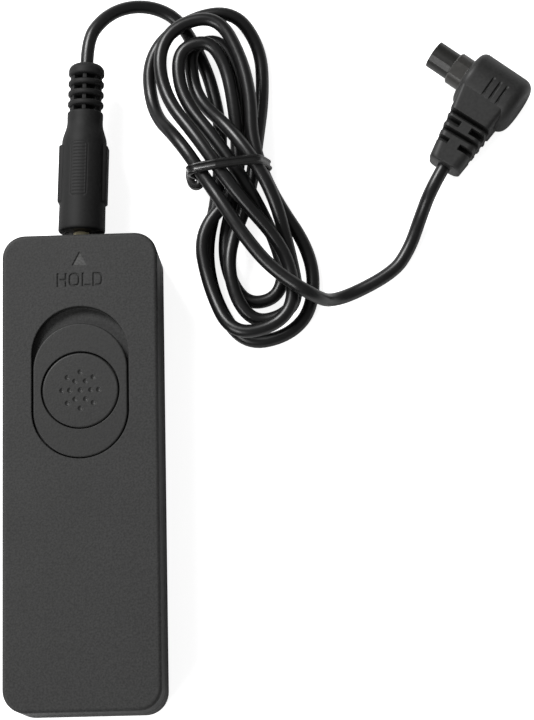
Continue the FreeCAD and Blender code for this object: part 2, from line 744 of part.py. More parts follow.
def arc_points(start, tangent, end, count):
    chord = end - start
    ahead = chord.dot(tangent)
    side = chord - tangent * ahead
    turn = 2 * math.atan2(side.Length, ahead)
    if side.Length < 1e-7:
        return [start + chord * (step / count) for step in range(count + 1)], 1e9
    side = side * (1 / side.Length)
    radius = chord.Length / (2 * math.sin(turn / 2))
    points = []
    for step in range(count + 1):
        angle = turn * step / count
        points.append(start + tangent * (radius * math.sin(angle)) + side * (radius * (1 - math.cos(angle))))
    return points, radius


def joining_arcs(start, heading0, end, heading1):
    span = end - start
    both = heading0 + heading1
    curve = 1 - heading0.dot(heading1)
    if curve < 1e-9:
        reach = span.dot(span) / (4 * span.dot(heading0))
    else:
        root = span.dot(both) ** 2 + 2 * curve * span.dot(span)
        reach = (-span.dot(both) + math.sqrt(root)) / (2 * curve)
    middle = (start + heading0 * reach + end - heading1 * reach) * 0.5
    first, radius0 = arc_points(start, heading0, middle, 2)
    last, radius1 = arc_points(end, heading1 * -1, middle, 2)
    last.reverse()
    return (first, last), min(radius0, radius1)


def edge_through(points):
    first, middle, last = points
    if (middle - (first + last) * 0.5).Length < 1e-6:
        return Part.LineSegment(first, last).toShape()
    return Part.Arc(first, middle, last).toShape()


def tube_along(edges, start, direction):
    path = Part.Wire(edges)
    section = Part.Wire([Part.makeCircle(cord_radius, start, direction)])
    return Part.Solid(path.makePipeShell([section], True, False)), path


hank_start = hank_place(*stations[0][:3])
hank_finish = hank_place(*stations[-1][:3])
hank_in = hank_heading(stations[0][3])
hank_out = hank_heading(stations[-1][3])
lead_end = hank_start - hank_in * cord_diameter
tail_start = hank_finish + hank_out * cord_diameter
hank_edges = [Part.LineSegment(lead_end, hank_start).toShape()]
hank_radius = 1e9
for here, there in zip(stations, stations[1:]):
    arcs, radius = joining_arcs(hank_place(*here[:3]), hank_heading(here[3]),
                                hank_place(*there[:3]), hank_heading(there[3]))
    hank_radius = min(hank_radius, radius)
    hank_edges += [edge_through(arcs[0]), edge_through(arcs[1])]
hank_edges.append(Part.LineSegment(hank_finish, tail_start).toShape())
hank, hank_path = tube_along(hank_edges, lead_end, hank_in)
save(hank, "cord_hank")
hank_length = hank_path.Length
section_area = math.pi * cord_radius ** 2
print("hank length", round(hank_length, 1), "tightest arc", round(hank_radius, 2),
      "volume against section x length", round(hank.Volume / (section_area * hank_length), 5))

# Least gap of the hank to itself, on points along its centre line
spots = []
for edge in hank_edges:
    count = max(2, int(edge.Length / 0.5))
    for spot in edge.discretize(count + 1)[:-1]:
        spots.append(spot)
travel = [0.0]
for one, two in zip(spots, spots[1:]):
    travel.append(travel[-1] + (two - one).Length)
least = 1e9
for i, one in enumerate(spots):
    for j in range(i + 1, len(spots)):
        if travel[j] - travel[i] > 8:
            other = spots[j]
            if abs(one.x - other.x) < 4 and abs(one.y - other.y) < 4:
                least = min(least, (one - other).Length)
print("hank least gap to itself", round(least - cord_diameter, 3), "mm over", len(spots), "points")


# Lead-in and tail: straight runs joined by tangent arcs
def routed_cord(points, name):
    edges = []
    here = points[0]
    for before, corner, after in zip(points, points[1:], points[2:]):
        run_in = corner - before
        run_out = after - corner
        ahead = V(run_in).normalize()
        onward = V(run_out).normalize()
        turn = math.acos(max(-1.0, min(1.0, ahead.dot(onward))))
        trim = cord_arc_share * min(run_in.Length, run_out.Length)
        radius = trim / math.tan(turn / 2)
        arc_in = corner - ahead * trim
        arc_out = corner + onward * trim
        centre_way = (onward - ahead).normalize()
        centre = corner + centre_way * (radius / math.cos(turn / 2))
        middle = centre - centre_way * radius
        edges.append(Part.LineSegment(here, arc_in).toShape())
        edges.append(Part.Arc(arc_in, middle, arc_out).toShape())
        here = arc_out
        print(name, "turn", round(math.degrees(turn), 1), "radius", round(radius, 2))
    edges.append(Part.LineSegment(here, points[-1]).toShape())
    solid, path = tube_along(edges, points[0], (points[1] - points[0]).normalize())
    save(solid, name)
    print(name, "length", round(path.Length, 1),
          "volume against section x length", round(solid.Volume / (section_area * path.Length), 5))
    return path.Length


lead_first = 5.7
lead_last = 4.4
lead_points = [plug_exit, plug_exit + exit_along * lead_first, V(4.05, 104.3, 8.0), V(8.2, 107.7, 6.0),
               V(13.5, 109.0, 4.0), V(18.8, 107.8, 2.4), lead_end - hank_in * lead_last, lead_end]
lead_length = routed_cord(lead_points, "cord_lead_in")

# Camera connector placing: its own axes turned and moved onto the table
nose_angle = math.radians(connector_nose_angle)
axis_a = V(math.cos(nose_angle), math.sin(nose_angle), 0)
axis_b = V(-math.sin(nose_angle), math.cos(nose_angle), 0)


def placed(shape):
    shape.rotate(V(0, 0, 0), V(0, 0, 1), connector_nose_angle)
    shape.translate(V(connector_x, connector_y, connector_z))
    return shape


def placed_point(a, b):
    return V(connector_x, connector_y, connector_z) + axis_a * a + axis_b * b


boot_along = V(-math.sin(math.radians(boot_lean)), math.cos(math.radians(boot_lean)), 0)
boot_across = V(boot_along.y, -boot_along.x, 0)
cord_way_in = (axis_a * boot_along.x + axis_b * boot_along.y) * -1
boot_exit = placed_point(boot_end_a, boot_end)
tail_first = 5.2
tail_last = 5.9
tail_points = [tail_start, tail_start + hank_out * tail_first, V(72.45, 50.25, cord_radius),
               V(75.15, 57.2, 3.0), boot_exit - cord_way_in * tail_last, boot_exit]
tail_length = routed_cord(tail_points, "cord_tail")
print("cord length between the mouldings", round(lead_length + hank_length + tail_length, 1))


# Connector head and strain relief
def rounded_section(centre, across, half_width, half_height, corner):
    up = V(0, 0, 1)
    edges = []
    places = []
    for sx, sz in ((1, 1), (-1, 1), (-1, -1), (1, -1)):
        hub = centre + across * (sx * (half_width - corner)) + up * (sz * (half_height - corner))
        side = hub + across * (sx * corner)
        top = hub + up * (sz * corner)
        middle = hub + (across * sx + up * sz).normalize() * corner
        places.append((side, middle, top) if sx * sz > 0 else (top, middle, side))
    for index, place in enumerate(places):
        edges.append(Part.Arc(*place).toShape())
        edges.append(Part.LineSegment(place[2], places[(index + 1) % 4][0]).toShape())
    return Part.Wire(edges)


head = rod_x(head_radius, head_back, head_front)
head = head.makeFillet(head_back_edge, edges_at(head, "X", head_back))
head = head.makeFillet(head_front_edge, edges_at(head, "X", head_front))
boot_a = (boot_start_left + boot_start_right) / 2
boot_half = (boot_start_left - boot_start_right) / 2
first_section = rounded_section(V(boot_a, boot_start, 0), V(1, 0, 0), boot_half, boot_start_half,
                                boot_corner_start)
last_section = rounded_section(V(boot_end_a, boot_end, 0), boot_across, boot_end_half, boot_end_half,
                               boot_corner_end)
boot = Part.makeLoft([first_section, last_section], True, True)
for side in (-1, 1):
    z0, z1 = (boot_core, 9) if side > 0 else (-9, -boot_core)
    for b, width in boot_slots:
        boot = boot.cut(box(-9, 9, b - width / 2, b + width / 2, z0, z1))
    for b, width in boot_windows:
        boot = boot.cut(box(boot_web_left, 9, b - width / 2, b + width / 2, z0, z1))
        boot = boot.cut(box(-9, boot_web_right, b - width / 2, b + width / 2, z0, z1))
head = head.fuse(boot)
for a in groove_places:
    head = head.cut(box(a - groove_width / 2, a + groove_width / 2, groove_b0, groove_b1, groove_floor, 9))
head = head.cut(rod_x(nose_neck_radius + tube_clear, mould_root, head_front + 1))
head = head.cut(rod_x(collar_radius + counterbore_clear, counterbore_root, head_front + 1))
boot_core_start = V(boot_end_a, boot_end, 0) - boot_along * (boot_end - boot_cord_root)
boot_core_cut = Part.makeCylinder(cord_radius + cord_core_clear, boot_end, boot_core_start, boot_along)
head = head.cut(boot_core_cut)
save(placed(head), "connector_head")
boot_cord = Part.makeCylinder(cord_radius, boot_end - boot_cord_root - boot_cord_gap,
                              boot_core_start + boot_along * boot_cord_gap, boot_along)
save(placed(boot_cord), "connector_cord_end")

# Nose: metal shell, insert, pins, the block that holds them
nose_step = collar_tip + nose_step_gap
shell = tube_x(nose_bore_radius, nose_neck_radius, nose_root, nose_tip)
shell = shell.fuse(tube_x(nose_bore_radius, nose_radius, nose_step, nose_tip)).removeSplitter()
flat = math.sqrt(nose_radius ** 2 - (nose_flat_width / 2) ** 2)
flat_cut = box(nose_step, nose_tip + 1, -5, 5, flat, flat + 5)
flat_cut.rotate(V(0, 0, 0), V(1, 0, 0), -nose_flat_turn)
save(placed(shell.cut(flat_cut)), "nose_shell")
insert_radius = nose_bore_radius - insert_clear
insert = rod_x(insert_radius, insert_root, insert_tip)
block_end = rod_x(insert_radius, nose_root - 0.1, insert_root)
holder = rod_x(nose_neck_radius, mould_root, nose_root).fuse(block_end).removeSplitter()
pins = []
for angle in (90, 210, 330):
    y = contact_pin_ring * math.cos(math.radians(angle))
    z = contact_pin_ring * math.sin(math.radians(angle))
    hole = rod_x(contact_pin_radius + tube_clear, contact_pin_root - tube_clear, contact_pin_tip + 1, y, z)
    insert = insert.cut(hole)
    holder = holder.cut(hole)
    pins.append(rod_x(contact_pin_radius, contact_pin_root, contact_pin_tip, y, z))
save(placed(insert), "contact_insert")
save(placed(holder), "connector_inner_mould")
save(placed(Part.Compound(pins)), "contact_pins")

# Locking collar and its spring
collar = rod_x(collar_radius, collar_root, collar_tip)
collar = collar.makeChamfer(collar_edge, edges_at(collar, "X", collar_tip))
collar_flat = math.sqrt(collar_radius ** 2 - (collar_flat_width / 2) ** 2)
collar_cut = box(head_front + 0.3, collar_tip + 1, -5, 5, collar_flat, collar_flat + 5)
collar_cut.rotate(V(0, 0, 0), V(1, 0, 0), -collar_flat_turn)
collar = collar.cut(collar_cut)
collar = collar.cut(rod_x(nose_neck_radius + collar_clear, collar_root - 1, collar_tip + 1))
save(placed(collar), "lock_collar")
lock_spring = coil(collar_spring_radius, collar_spring_wire, collar_spring_length, collar_spring_turns)
lock_spring.rotate(V(0, 0, 0), V(0, 1, 0), 90)
lock_spring.translate(V(collar_spring_root, 0, 0))
save(placed(lock_spring), "collar_spring")

# Cord tie: a band round the waist of the hank and its folded end
waist_spots = []
for u, v, z, turn in stations:
    if u == 0:
        waist_spots += [(v - tie_spread, z), (v + tie_spread, z)]


def hull(points):
    points = sorted(points)
    rings = []
    for row in (points, points[::-1]):
        chain = []
        for p in row:
            while len(chain) > 1:
                (ax, ay), (bx, by) = chain[-2], chain[-1]
                if (bx - ax) * (p[1] - ay) - (by - ay) * (p[0] - ax) > 0:
                    break
                chain.pop()
            chain.append(p)
        rings += chain[:-1]
    return rings


def band_face(points, reach):
    edges = []
    count = len(points)
    sides = []
    for index in range(count):
        (ax, ay), (bx, by) = points[index], points[(index + 1) % count]
        length = math.hypot(bx - ax, by - ay)
        out = ((by - ay) / length, -(bx - ax) / length)
        sides.append(((ax + out[0] * reach, ay + out[1] * reach),
                      (bx + out[0] * reach, by + out[1] * reach), out))
    for index in range(count):
        start, end, out = sides[index]
        after = sides[(index + 1) % count]
        corner = points[(index + 1) % count]
        bisect = V(out[0] + after[2][0], out[1] + after[2][1], 0).normalize() * reach
        at = [V(0, p[0], p[1]) for p in (start, end, after[0])]
        edges.append(Part.LineSegment(at[0], at[1]).toShape())
        if (at[2] - at[1]).Length > 1e-6:
            edges.append(Part.Arc(at[1], V(0, corner[0] + bisect.x, corner[1] + bisect.y), at[2]).toShape())
    return Part.Face(Part.Wire(edges))


def on_hank(shape):
    turned = FreeCAD.Matrix(hank_u.x, hank_v.x, 0, hank_x, hank_u.y, hank_v.y, 0, hank_y,
                            0, 0, 1, 0, 0, 0, 0, 1)
    return shape.transformGeometry(turned)


loop = hull(waist_spots)
inner_reach = cord_radius + tie_strand_gap
band = band_face(loop, inner_reach + tie_thick).cut(band_face(loop, inner_reach))
band = band.extrude(V(tie_width, 0, 0))
band.translate(V(-tie_width / 2, 0, 0))
save(on_hank(band), "tie_band")
left = band.common(box(-9, 9, -30, 0, twist_z - 0.02, twist_z + 0.02)).BoundBox.YMin
twist = Part.makeSphere(1.0, V(0, 0, 0))
stretch = FreeCAD.Matrix()
stretch.scale(twist_along, twist_across, twist_half_height)
twist = twist.transformGeometry(stretch)
twist.translate(V(0, left - twist_across + 0.35, twist_z))
twist = twist.cut(band)
save(on_hank(twist), "tie_twist")
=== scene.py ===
import bpy
import bmesh
import math
from mathutils import Matrix, Vector


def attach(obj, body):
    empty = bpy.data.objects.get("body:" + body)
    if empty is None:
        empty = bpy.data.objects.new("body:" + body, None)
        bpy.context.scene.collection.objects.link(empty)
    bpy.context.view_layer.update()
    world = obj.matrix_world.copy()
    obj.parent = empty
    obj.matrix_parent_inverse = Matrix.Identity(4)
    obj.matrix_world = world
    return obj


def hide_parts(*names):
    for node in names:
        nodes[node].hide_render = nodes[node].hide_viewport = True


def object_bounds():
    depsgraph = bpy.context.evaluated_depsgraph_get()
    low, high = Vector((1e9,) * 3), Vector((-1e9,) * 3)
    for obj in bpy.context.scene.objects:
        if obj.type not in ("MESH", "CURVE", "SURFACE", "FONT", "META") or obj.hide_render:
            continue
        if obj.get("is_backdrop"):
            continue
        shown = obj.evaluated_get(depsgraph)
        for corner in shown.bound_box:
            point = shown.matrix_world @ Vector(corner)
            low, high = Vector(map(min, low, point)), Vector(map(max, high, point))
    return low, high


MM = 0.001
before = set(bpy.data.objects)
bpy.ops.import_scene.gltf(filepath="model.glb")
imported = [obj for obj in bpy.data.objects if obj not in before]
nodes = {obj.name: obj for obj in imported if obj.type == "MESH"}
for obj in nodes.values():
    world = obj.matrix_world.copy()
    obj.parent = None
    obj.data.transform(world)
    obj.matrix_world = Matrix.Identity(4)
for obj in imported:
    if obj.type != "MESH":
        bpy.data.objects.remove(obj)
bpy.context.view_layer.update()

# Camera: it looks down on the handset from about half a metre, a little from its plain end,
# and is fitted to the outline of the case in the photograph.
camera_data = bpy.data.cameras.new("camera")
camera_data.lens = 122.55
camera_data.sensor_width = 36.0
camera = bpy.data.objects.new("camera", camera_data)
bpy.context.scene.collection.objects.link(camera)
roll = Matrix.Rotation(math.radians(-1.204), 4, "Z")
sway = Matrix.Rotation(math.radians(2.469), 4, "Y")
tilt = Matrix.Rotation(math.radians(11.393), 4, "X")
stand = Matrix.Translation(Vector((60.77, -82.55, 536.87)) * MM)
camera.matrix_world = stand @ roll @ sway @ tilt
bpy.context.scene.camera = camera

# The cord: one limp strand from the plug's strain relief through the tied hank to the
# camera connector. Lead-in and tail are route points. The hank's come from its stations:
# place along and across the bundle, height, and the heading in degrees.
cord_radius = 1.5
hank_centre = Vector((33.66, 69.09, 0.0))
hank_turn = math.radians(9.5)
hank_u = Vector((-math.sin(hank_turn), math.cos(hank_turn), 0.0))
hank_v = Vector((math.cos(hank_turn), math.sin(hank_turn), 0.0))
waist_lift = 1.1
stations = [
    (29.5, -3.0, 1.5, 164), (15.0, -1.3, 1.5, 180), (0, -3.65, 1.5, 195), (-22.0, -9.9, 1.5, 180),
    (-39.3, 0.6, 1.5, 90), (-29.5, 12.32, 1.5, 9), (0, 5.8, 6.52, -9), (20.0, 6.51, 8.54, -3),
    (35.3, -2.4, 8.5, -90), (25.0, -12.14, 9.0, 180), (0, -3.84, 11.8, 157),
    (-29.0, 7.98, 8.92, 178.5), (-38.0, -1.0, 8.4, -90), (-19.0, -10.6, 5.6, 0),
    (0, 0.55, 5.39, 15), (20.0, 2.61, 8.03, -1), (29.8, -3.2, 8.5, -90), (23.5, -8.3, 8.5, 180),
    (0, -0.17, 9.2, 157), (-22.0, 6.43, 1.5, 174), (-30.3, 0.6, 1.5, -90), (-21.0, -5.7, 1.5, 0),
    (0, 0.58, 1.5, 17), (19.0, 4.74, 4.81, 2), (30.8, -1.4, 5.0, -90), (25.0, -5.3, 5.0, 180),
    (0, 4.32, 10.8, 157), (-29.0, 8.65, 4.87, 180), (-35.4, 1.4, 5.0, -90), (-26.0, -5.3, 5.6, 0),
    (0, 4.35, 2.77, 18), (22.8, 10.46, 1.5, 8), (37.2, 1.6, 5.0, -90), (25.0, -15.21, 3.0, 186),
    (0, -7.9, 11.35, 157), (-14.0, -2.16, 13.77, 158), (-29.5, 7.3, 13.19, 135),
    (-32.0, 22.5, 1.5, 74),
]
stations = [(u, v, z if u else z + waist_lift, turn) for u, v, z, turn in stations]
hank_path = []
for (u0, v0, z0, turn0), (u1, v1, z1, turn1) in zip(stations, stations[1:]):
    start = hank_centre + hank_u * u0 + hank_v * v0 + Vector((0, 0, z0))
    end = hank_centre + hank_u * u1 + hank_v * v1 + Vector((0, 0, z1))
    turn0, turn1 = math.radians(turn0), math.radians(turn1)
    heading0 = hank_u * math.cos(turn0) + hank_v * math.sin(turn0)
    heading1 = hank_u * math.cos(turn1) + hank_v * math.sin(turn1)
    span, both = end - start, heading0 + heading1
    curve = 1 - heading0.dot(heading1)
    if curve < 1e-9:
        reach = span.dot(span) / (4 * span.dot(heading0))
    else:
        root = span.dot(both) ** 2 + 2 * curve * span.dot(span)
        reach = (-span.dot(both) + math.sqrt(root)) / (2 * curve)
    hank_path += [start + heading0 * reach, end - heading1 * reach]
plug_exit = Vector((0.947, 93.873, 9.0))
lead_in = [plug_exit] + [Vector(place) for place in (
    (1.156, 99.57, 9.0), (4.05, 104.3, 8.0), (8.2, 107.7, 6.0), (13.5, 109.0, 4.0),
    (18.8, 107.8, 2.4), (22.64, 104.37, 1.5))]
tail = [Vector(place) for place in (
    (68.54, 44.77, 1.5), (72.45, 50.25, 1.5), (75.15, 57.2, 3.0), (77.61, 62.59, 6.78),
    (80.62, 67.66, 6.78))]
cord_points = lead_in + hank_path + tail
cord_data = bpy.data.curves.new("cord", "CURVE")
cord_data.dimensions = "3D"
spline = cord_data.splines.new("NURBS")
spline.points.add(len(cord_points) - 1)
for point, place in zip(spline.points, cord_points):
    point.co = (*(place * MM), 1.0)
    point.radius = cord_radius * MM
spline.order_u = 3
spline.use_endpoint_u = True
spline.resolution_u = 10
cord_data.bevel_depth = 1.0
cord_data.bevel_resolution = 6
cord = bpy.data.objects.new("cord", cord_data)
bpy.context.scene.collection.objects.link(cord)
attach(cord, "cable")
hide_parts("cord_lead_in", "cord_hank", "cord_tail")


# One moulded or plated surface: slow colour variation, fine grain in colour, gloss and
# relief, and edges rounded by a small radius in mm where light catches them.
def surface(name, colour, gloss, grain, relief, mottle, speckle,
            metallic=0.0, shine=0.5, edge=0.15):
    gloss_swing = 0.07
    relief_height = 0.05
    material = bpy.data.materials.new(name)
    material.use_nodes = True
    tree = material.node_tree
    shader = tree.nodes["Principled BSDF"]
    place = tree.nodes.new("ShaderNodeTexCoord")
    slow = tree.nodes.new("ShaderNodeTexNoise")
    slow.inputs["Scale"].default_value = 70.0
    slow.inputs["Detail"].default_value = 4.0
    fine = tree.nodes.new("ShaderNodeTexNoise")
    fine.inputs["Scale"].default_value = grain
    fine.inputs["Detail"].default_value = 2.0
    for texture in (slow, fine):
        tree.links.new(place.outputs["Object"], texture.inputs["Vector"])
    slow_tone = tree.nodes.new("ShaderNodeMapRange")
    fine_tone = tree.nodes.new("ShaderNodeMapRange")
    for tone, texture, swing in ((slow_tone, slow, mottle), (fine_tone, fine, speckle)):
        tone.inputs["From Min"].default_value = 0.3
        tone.inputs["From Max"].default_value = 0.7
        tone.inputs["To Min"].default_value = 1.0 - swing
        tone.inputs["To Max"].default_value = 1.0 + swing
        tree.links.new(texture.outputs["Fac"], tone.inputs["Value"])
    tone = tree.nodes.new("ShaderNodeMath")
    tone.operation = "MULTIPLY"
    tree.links.new(slow_tone.outputs["Result"], tone.inputs[0])
    tree.links.new(fine_tone.outputs["Result"], tone.inputs[1])
    tint = tree.nodes.new("ShaderNodeVectorMath")
    tint.operation = "SCALE"
    tint.inputs[0].default_value = colour
    tree.links.new(tone.outputs["Value"], tint.inputs["Scale"])
    tree.links.new(tint.outputs["Vector"], shader.inputs["Base Color"])
    rough = tree.nodes.new("ShaderNodeMapRange")
    rough.inputs["To Min"].default_value = gloss - gloss_swing
    rough.inputs["To Max"].default_value = gloss + gloss_swing
    tree.links.new(fine.outputs["Fac"], rough.inputs["Value"])
    tree.links.new(rough.outputs["Result"], shader.inputs["Roughness"])
    corner = tree.nodes.new("ShaderNodeBevel")
    corner.samples = 6
    corner.inputs["Radius"].default_value = edge * MM
    bump = tree.nodes.new("ShaderNodeBump")
    bump.inputs["Strength"].default_value = relief
    bump.inputs["Distance"].default_value = relief_height * MM
    tree.links.new(fine.outputs["Fac"], bump.inputs["Height"])
    tree.links.new(corner.outputs["Normal"], bump.inputs["Normal"])
    tree.links.new(bump.outputs["Normal"], shader.inputs["Normal"])
    shader.inputs["Metallic"].default_value = metallic
    shader.inputs["Specular IOR Level"].default_value = shine
    return material


def paint(material, *names):
    for name in names:
        slots = nodes[name].data.materials
        slots.clear()
        slots.append(material)


cord_look = surface("cord_pvc", (0.005, 0.005, 0.0052), 0.34, 900.0, 0.12, 0.1, 0.1, edge=0.02)
cord_data.materials.append(cord_look)
paint(cord_look, "plug_cord_end", "connector_cord_end")

# Handset case: two spark-eroded grey shells with a parting groove, the generic legend
# sunk into the face, its triangle's floor painted paler as a painted reflection, four screws in the back.
case_look = surface("case_plastic", (0.0262, 0.0262, 0.0258), 0.6, 2400.0, 0.6, 0.05, 0.35,
                    shine=0.34, edge=0.35)
paint(case_look, "top_cover", "base_shell")
# The triangle's paler floor is a painted reflection: inside this box the case colour is scaled up to
# stand for light off the smooth engraved floor.
triangle_middle = (0.0, 46.5, 17.8)
triangle_reach = (2.0, 2.0, 0.1)
triangle_painted_reflection = 2.3
case_tree = case_look.node_tree
case_place = case_tree.nodes.new("ShaderNodeSeparateXYZ")
case_tree.links.new(case_tree.nodes["Texture Coordinate"].outputs["Object"],
                    case_place.inputs["Vector"])
reflection_mask = None
for axis, middle, reach in zip("XYZ", triangle_middle, triangle_reach):
    within = case_tree.nodes.new("ShaderNodeMath")
    within.operation = "COMPARE"
    within.inputs[1].default_value = middle * MM
    within.inputs[2].default_value = reach * MM
    case_tree.links.new(case_place.outputs[axis], within.inputs[0])
    if reflection_mask:
        both = case_tree.nodes.new("ShaderNodeMath")
        both.operation = "MULTIPLY"
        case_tree.links.new(reflection_mask.outputs["Value"], both.inputs[0])
        case_tree.links.new(within.outputs["Value"], both.inputs[1])
        within = both
    reflection_mask = within
painted_reflection_gain = case_tree.nodes.new("ShaderNodeMapRange")
painted_reflection_gain.inputs["To Min"].default_value = 1.0
painted_reflection_gain.inputs["To Max"].default_value = triangle_painted_reflection
case_tree.links.new(reflection_mask.outputs["Value"], painted_reflection_gain.inputs["Value"])
case_shader = case_tree.nodes["Principled BSDF"]
case_tone = case_shader.inputs["Base Color"].links[0].from_socket
case_tint_with_reflection = case_tree.nodes.new("ShaderNodeVectorMath")
case_tint_with_reflection.operation = "SCALE"
case_tree.links.new(case_tone, case_tint_with_reflection.inputs[0])
case_tree.links.new(painted_reflection_gain.outputs["Result"], case_tint_with_reflection.inputs["Scale"])
case_tree.links.new(case_tint_with_reflection.outputs["Vector"], case_shader.inputs["Base Color"])
paint(surface("screw_steel", (0.5, 0.5, 0.51), 0.36, 1500.0, 0.15, 0.1, 0.1, metallic=1.0, edge=0.08),
      "case_screws", "board_screws")

# Sliding hold plate and the dimpled push button in its middle: the grey of the case, a little
# smoother, and painted darker as painted shade of the recess they sit in.
# Plate and button colours are painted shade: darker than the case grey for the recess they sit in.
paint(surface("slider_plastic", (0.0225, 0.0225, 0.022), 0.52, 2400.0, 0.4, 0.05, 0.2,
              shine=0.34, edge=0.25), "hold_slider")
paint(surface("button_plastic", (0.0225, 0.0225, 0.022), 0.48, 2400.0, 0.4, 0.05, 0.2,
              shine=0.36, edge=0.2), "shutter_button")

# Inside the case: the plate's carriage with the return spring, then the board with the
# brass leaves of the switch and the jack.
paint(surface("inner_plastic", (0.02, 0.02, 0.02), 0.5, 1500.0, 0.25, 0.1, 0.1),
      "slider_carriage", "contact_block", "jack_socket")
paint(surface("spring_steel", (0.5, 0.5, 0.51), 0.32, 1200.0, 0.1, 0.1, 0.08, metallic=1.0, edge=0.02),
      "return_spring", "collar_spring")
paint(surface("board_laminate", (0.02, 0.09, 0.035), 0.4, 900.0, 0.15, 0.1, 0.15), "circuit_board")
paint(surface("contact_brass", (0.72, 0.55, 0.27), 0.34, 900.0, 0.1, 0.08, 0.06, metallic=1.0, edge=0.03),
      "common_leaf", "focus_leaf", "shutter_contact", "leaf_tails", "jack_contacts")

# Stereo pin: gold-plated contacts with black insulating rings, seen in the gap between
# the handle and the case, and the inner mouldings that plug and connector share.
# The gold is near white and only half metallic: a painted reflection, so the pin shines in the shaded gap
# where it has nothing bright to mirror.
paint(surface("gold_plate", (1.0, 0.9, 0.6), 0.38, 900.0, 0.05, 0.06, 0.04, metallic=0.45, edge=0.05),
      "sleeve_contact", "ring_contact", "tip_contact", "contact_pins")
paint(surface("insulator_plastic", (0.02, 0.02, 0.02), 0.45, 900.0, 0.1, 0.1, 0.1), "plug_insulators")
paint(surface("mould_plastic", (0.02, 0.02, 0.02), 0.5, 1200.0, 0.2, 0.1, 0.1),
      "plug_inner_mould", "connector_inner_mould", "contact_insert")


# Soft mouldings are skins: rows of points round the form, one after the other, with flat
# ends, or joined into a ring.
def skin(name, rows, closed=False):
    count = len(rows[0])
    turns = len(rows) if closed else len(rows) - 1
    faces = []
    for i in range(turns):
        ahead = (i + 1) % len(rows)
        for j in range(count):
            after = (j + 1) % count
            faces.append((i * count + j, i * count + after, ahead * count + after, ahead * count + j))
    if not closed:
        faces.append(tuple(range(count)))
        faces.append(tuple(len(rows) * count - 1 - j for j in range(count)))
    mesh = bpy.data.meshes.new(name)
    mesh.from_pydata([tuple(point * MM) for row in rows for point in row], [], faces)
    work = bmesh.new()
    work.from_mesh(mesh)
    bmesh.ops.recalc_face_normals(work, faces=work.faces)
    work.to_mesh(mesh)
    work.free()
    mesh.shade_smooth()
    mesh.set_sharp_from_angle(angle=math.radians(38))
    piece = bpy.data.objects.new(name, mesh)
    bpy.context.scene.collection.objects.link(piece)
    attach(piece, "cable")
    return piece


def smooth(value, low, high):
    share = max(0.0, min(1.0, (value - low) / (high - low)))
    return share * share * (3 - 2 * share)


# Plug handle: round soft body with a flat pad each side and a ribbed panel on top, then
# a strain relief of four cut rows between swelling rings, and a domed end collar.
handle_face = Vector((-0.5, 54.4, 9.0))
handle_lean = math.radians(2.1)
handle_ahead = Vector((math.sin(handle_lean), math.cos(handle_lean), 0.0))
handle_across = Vector((math.cos(handle_lean), -math.sin(handle_lean), 0.0))
handle_length = 39.1
handle_radius = 5.225
handle_taper = 0.225 / 22.4
face_round = 0.6
shoulder_start, shoulder_end = 20.6, 25.4
shoulder_radius = 4.0
pad_start, pad_end, pad_fade = 6.4, 20.2, 0.6
pad_reach, pad_half_height = 5.5, 2.3
panel_start, panel_end = 7.3, 19.6
panel_shift, panel_half = 0.5, 1.5
rib_pitch, rib_depth = 0.77, 0.09
rim_start, rim_end, rim_straight, rim_round = 8.4, 19.1, 1.0, 0.85
rim_half, rim_depth = 2.1, 0.05
relief_start = 26.4
relief_rows = [28.5 + 2.42 * k for k in range(4)]
ring_base, ring_rise, ring_swell = 3.55, 0.47, 0.42
cut_half, cut_floor, cut_web, cut_radius = 0.6, 1.6, 3.3, 3.5
cut_side, cut_near, cut_far = 1.25, 0.5, 2.5
collar_start, collar_round, collar_hole = 37.4, 1.7, 2.32
alongs = [0.0, 0.04, 0.12, 0.25, 0.42, face_round]
alongs += [face_round + 0.4 * k for k in range(1, 15)]
alongs += [6.3 + 0.11 * k for k in range(130)]
alongs += [shoulder_start + 0.35 * k for k in range(1, 19)]
for row in relief_rows:
    alongs += [row + step for step in (-0.68, -0.61, -0.56, -0.3, 0.0, 0.3, 0.56, 0.61, 0.68)]
    alongs += [row + 0.75 + 0.13 * k for k in range(8)]
alongs += [27.2, 27.4, 27.6] + [36.9 + 0.15 * k for k in range(4)]
alongs += [collar_start + collar_round * math.sin(math.radians(6 * k)) for k in range(1, 16)]
alongs = sorted(set(round(along, 3) for along in alongs if along <= handle_length))
turns = [step * 3.0 for step in range(120) if not 63 <= step * 3.0 <= 126]
turns = sorted(turns + [63 + 0.75 * step for step in range(85)])
handle_rows = []
